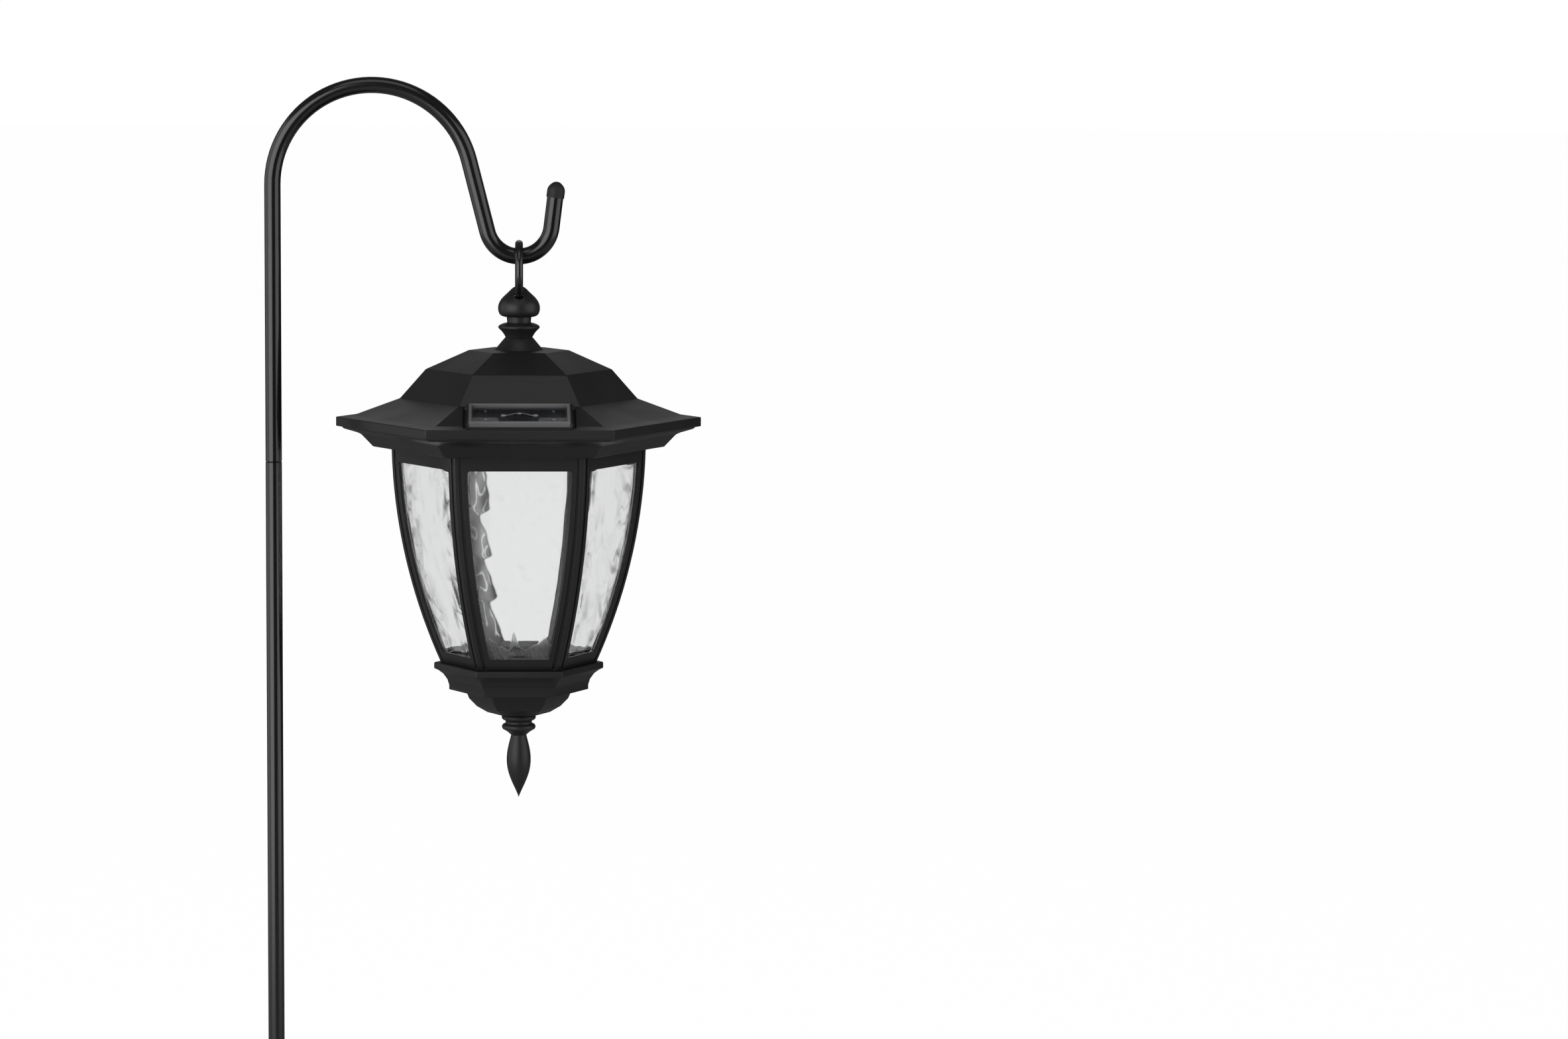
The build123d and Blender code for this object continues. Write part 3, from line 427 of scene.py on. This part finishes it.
def front_pane(number, x, z, size):
    """Relief depth in mm and haze of the front pane: flat, with leaf-shaped swirls on its left and bottom. There
    the haze paints shade into the glass: a grey band with darker outlines and lighter spots, standing in for the
    dark frame seen refracted through it.
    """
    width, height = size
    turn = ((height - z) / 19 + 0.08 * noise.noise(Vector((x / 9, z / 14, 2.2)))) % 1
    leaf = turn * (1 - smooth(turn, 0.84, 1.0))
    reach = 4.8 + 2.4 * smooth(z / height, 0.74, 0.92) + 4.0 * leaf
    reach += 0.9 * noise.noise(Vector((3.1, z / 5, 0.4)))
    left = 1 - smooth(x, reach - 0.5, reach + 0.5)
    lift = 4.4 + 6.5 * bell(x, 0.42 * width, 1.5) + 4.5 * bell(x, 0.84 * width, 4.5)
    lift += 2.6 * noise.noise(Vector((x / 4, 4.2, 0.9)))
    bottom = 1 - smooth(z, lift - 0.5, lift + 0.5)
    swirl = noise.noise(Vector(((x + 3 * leaf) / 4.0, (z + 2 * x) / 15, 5.2)))
    fold = noise.noise(Vector(((x + 2 * leaf) / 2.6, (z + x) / 8, 8.8)))
    rim = bell(x, reach - 0.3, 0.55) * left + bell(z, lift - 0.3, 0.55) * bottom
    # Painted shade: the grey band's strength, darker along its outlines and lighter at the folds.
    painted_shade_strength = 0.74 + 0.30 * swirl + 0.18 * rim - 0.45 * bell(fold, 0.12, 0.10) * (1 - rim)
    wavy = max(left, bottom)
    haze = 0.03 + 0.95 * max(left, 0.62 * bottom) * min(max(painted_shade_strength, 0), 1)
    depth = (0.02 + 0.14 * wavy) * wave_relief(1.3 * x, z, SEED_STEP * number)
    return depth, haze


def wavy_pane(number, rows, columns):
    """One bowed pane: smooth outside, water-glass relief inside, flat where the frame holds it."""
    angle = math.radians(60 * (number - FRONT_PANE))
    centre = Matrix.Translation((lamp_x, 0, 0))
    turn = centre @ Matrix.Rotation(angle, 4, "Z") @ centre.inverted()
    z_low, z_high = rows[0][0], rows[-1][0]
    pattern = front_pane if number == FRONT_PANE else side_pane
    sheet = bmesh.new()
    # The per-vertex haze carries the panes' painted shade as well as their roughness.
    haze_and_painted_shade_layer = sheet.verts.layers.float.new("pane_haze_and_painted_shade")
    outside, inside = [], []
    for z, half, outer, inner in rows:
        line_out, line_in = [], []
        for i in range(columns + 1):
            x = half * (2 * i / columns - 1)
            rim = min((half - abs(x)) / MM, (z - z_low) / MM, (z_high - z) / MM)
            size = (2 * half / MM - 2 * PANE_MARGIN, (z_high - z_low) / MM - 2 * PANE_MARGIN)
            depth, haze = pattern(number, (x + half) / MM - PANE_MARGIN, (z - z_low) / MM - PANE_MARGIN, size)
            depth *= smooth(rim, 1.2, 3.4)
            line_out.append(sheet.verts.new(turn @ Vector((lamp_x + x, outer, z))))
            line_in.append(sheet.verts.new(turn @ Vector((lamp_x + x, inner - depth * MM, z))))
            line_out[-1][haze_and_painted_shade_layer] = haze
            line_in[-1][haze_and_painted_shade_layer] = haze
        outside.append(line_out)
        inside.append(line_in)
    for j in range(len(rows) - 1):
        for i in range(columns):
            sheet.faces.new((outside[j][i], outside[j][i + 1], outside[j + 1][i + 1], outside[j + 1][i]))
            sheet.faces.new((inside[j][i + 1], inside[j][i], inside[j + 1][i], inside[j + 1][i + 1]))
        sheet.faces.new((outside[j][0], outside[j + 1][0], inside[j + 1][0], inside[j][0]))
        sheet.faces.new((outside[j + 1][-1], outside[j][-1], inside[j][-1], inside[j + 1][-1]))
    for i in range(columns):
        sheet.faces.new((outside[0][i + 1], outside[0][i], inside[0][i], inside[0][i + 1]))
        sheet.faces.new((outside[-1][i], outside[-1][i + 1], inside[-1][i + 1], inside[-1][i]))
    bmesh.ops.recalc_face_normals(sheet, faces=sheet.faces)
    mesh = bpy.data.meshes.new(f"wavy_pane_{number}")
    sheet.to_mesh(mesh)
    sheet.free()
    mesh.shade_smooth()
    mesh.set_sharp_from_angle(angle=math.radians(60))
    stand_for(f"pane_{number}", mesh, f"wavy_pane_{number}")


def add_ribbons():
    """Tinned ribbons and three lumps of solder that join the cell's two terminals under the window."""
    low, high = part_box("cell_rivets")
    slope = math.atan2(high[2] - low[2] - 0.4 * MM, high[1] - low[1])
    along = Vector((0, math.cos(slope), math.sin(slope)))
    proud = Vector((0, -math.sin(slope), math.cos(slope)))
    low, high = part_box("cell_terminals")
    middle = (Vector(low) + Vector(high)) / 2 - 0.12 * MM * proud
    reach = (high[0] - low[0]) / 2 - TERMINAL_RADIUS * MM
    shape = bmesh.new()
    for side in (-1, 1):
        rows = []
        for k in range(RIBBON_STEPS + 1):
            t = k / RIBBON_STEPS
            x = side * (reach - 0.8 * MM) * (1 - t)
            rise = 2.4 * MM * smooth(t, 0.15, 1) + 0.12 * MM * math.sin(9 * t)
            lift = (0.10 + 0.34 * math.sin(math.pi * t) ** 2) * MM
            spine = middle + Vector((x, 0, 0)) + along * rise + proud * lift
            half = along * (0.42 + 0.08 * math.sin(5 * t)) * MM
            thick = proud * 0.07 * MM
            rows.append([shape.verts.new(spine + a + b) for a, b in (
                (-half, -thick), (half, -thick), (half, thick), (-half, thick))])
        for first, second in zip(rows, rows[1:]):
            for i in range(4):
                shape.faces.new((first[i], first[(i + 1) % 4], second[(i + 1) % 4], second[i]))
        shape.faces.new(rows[0])
        shape.faces.new(rows[-1])
    blobs = [(0, 2.4, 1.0), (-reach / MM + 0.2, 0.15, 1.15), (reach / MM - 0.2, -0.1, 1.15)]
    for x, rise, radius in blobs:
        root = middle + Vector((x * MM, 0, 0)) + along * rise * MM + proud * 0.1 * MM
        made = bmesh.ops.create_icosphere(shape, subdivisions=3, radius=1)["verts"]
        for v in made:
            lumpy = 1 + 0.35 * noise.noise(v.co * 1.6 + Vector((x, 4.1, 0)))
            spot = v.co * radius * lumpy * MM
            v.co = root + Vector((spot.x, 0, 0)) + along * spot.y * 0.85 + proud * spot.z * 0.36
    bmesh.ops.recalc_face_normals(shape, faces=shape.faces)
    mesh = bpy.data.meshes.new("cell_ribbons")
    shape.to_mesh(mesh)
    shape.free()
    mesh.shade_smooth()
    mesh.set_sharp_from_angle(angle=math.radians(50))
    mesh.materials.append(finishes["solder"])
    piece = bpy.data.objects.new("cell_ribbons", mesh)
    scene.collection.objects.link(piece)
    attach(piece, body_of["cell_terminals"])


for hero in ("roof_shell", "eave_tray", "base_moulding"):
    soften(hero, 0.35)
soften("cage_frame", 0.22, least_angle=35)
front_rows = pane_rows(f"pane_{FRONT_PANE}", PANE_ROWS)
for number in range(1, 7):
    wavy_pane(number, front_rows, columns=FRONT_COLUMNS if number == FRONT_PANE else SIDE_COLUMNS)
add_ribbons()


# ---- stage and light ---------------------------------------------------------------------------------------
def add_floor():
    """Plain pale floor."""
    mesh = bpy.data.meshes.new("floor")
    reach = 30
    corners = [(-reach, -reach), (reach, -reach), (reach, reach), (-reach, reach)]
    mesh.from_pydata([(x, y, floor_z) for x, y in corners], [], [(0, 1, 2, 3)])
    floor = bpy.data.objects.new("floor", mesh)
    scene.collection.objects.link(floor)
    s = Shader("floor_paint")
    s.set(Base_Color=grey(0.5), Roughness=0.7, Specular_IOR_Level=0.2)
    path = s.node("ShaderNodeLightPath")
    seen = s.math("MAXIMUM", path.outputs["Is Camera Ray"], path.outputs["Is Transmission Ray"])
    glow = s.node("ShaderNodeEmission", Strength=1.06)
    blend = s.node("ShaderNodeMixShader")
    s.link(s.math("MULTIPLY", seen, 0.93), blend.inputs["Fac"])
    s.link(s.bsdf.outputs["BSDF"], blend.inputs[1])
    s.link(glow.outputs["Emission"], blend.inputs[2])
    s.link(blend.outputs["Shader"], s.output.inputs["Surface"])
    mesh.materials.append(s.material)


def add_world():
    """White backdrop with a much dimmer room for reflections."""
    world = bpy.data.worlds.new("studio")
    scene.world = world
    world.use_nodes = True
    tree = world.node_tree
    tree.nodes.clear()
    output = tree.nodes.new("ShaderNodeOutputWorld")
    shades = []
    for strength in (0.08, 1.0):
        shades.append(tree.nodes.new("ShaderNodeBackground"))
        shades[-1].inputs["Color"].default_value = (1, 1, 1, 1)
        shades[-1].inputs["Strength"].default_value = strength
    path = tree.nodes.new("ShaderNodeLightPath")
    seen = tree.nodes.new("ShaderNodeMath")
    seen.operation = "MAXIMUM"
    mix = tree.nodes.new("ShaderNodeMixShader")
    tree.links.new(path.outputs["Is Camera Ray"], seen.inputs[0])
    tree.links.new(path.outputs["Is Transmission Ray"], seen.inputs[1])
    tree.links.new(seen.outputs[0], mix.inputs["Fac"])
    tree.links.new(shades[0].outputs["Background"], mix.inputs[1])
    tree.links.new(shades[1].outputs["Background"], mix.inputs[2])
    tree.links.new(mix.outputs["Shader"], output.inputs["Surface"])


def add_softbox(name, place, aim, size, radiance):
    """An area light of the given brightness, hidden from the camera."""
    data = bpy.data.lights.new(name, "AREA")
    data.shape = "RECTANGLE"
    data.size, data.size_y = size
    data.energy = radiance * math.pi * size[0] * size[1]
    lamp = bpy.data.objects.new(name, data)
    towards = (Vector(aim) - Vector(place)).to_track_quat("-Z", "Y")
    lamp.matrix_world = Matrix.Translation(place) @ towards.to_matrix().to_4x4()
    lamp.visible_camera = False
    lamp.visible_transmission = False
    scene.collection.objects.link(lamp)


add_floor()
add_world()
centre = (lamp_x, 0, 0.40)
softboxes = (
    ("softbox_left", (-0.90, -1.26, 0.55), (1.56, 1.9), 2.1),
    ("softbox_far_left", (-1.50, 0.05, 0.55), (1.56, 1.9), 0.8),
    ("softbox_right", (1.55, -0.66, 0.55), (1.8, 1.9), 1.15),
    ("softbox_top", (0.1, -0.7, 1.9), (1.2, 0.9), 0.8),
    ("softbox_back", (0.1, 2.2, 1.5), (1.1, 0.9), 0.5),
)
for name, place, size, radiance in softboxes:
    add_softbox(name, place, centre, size, radiance)
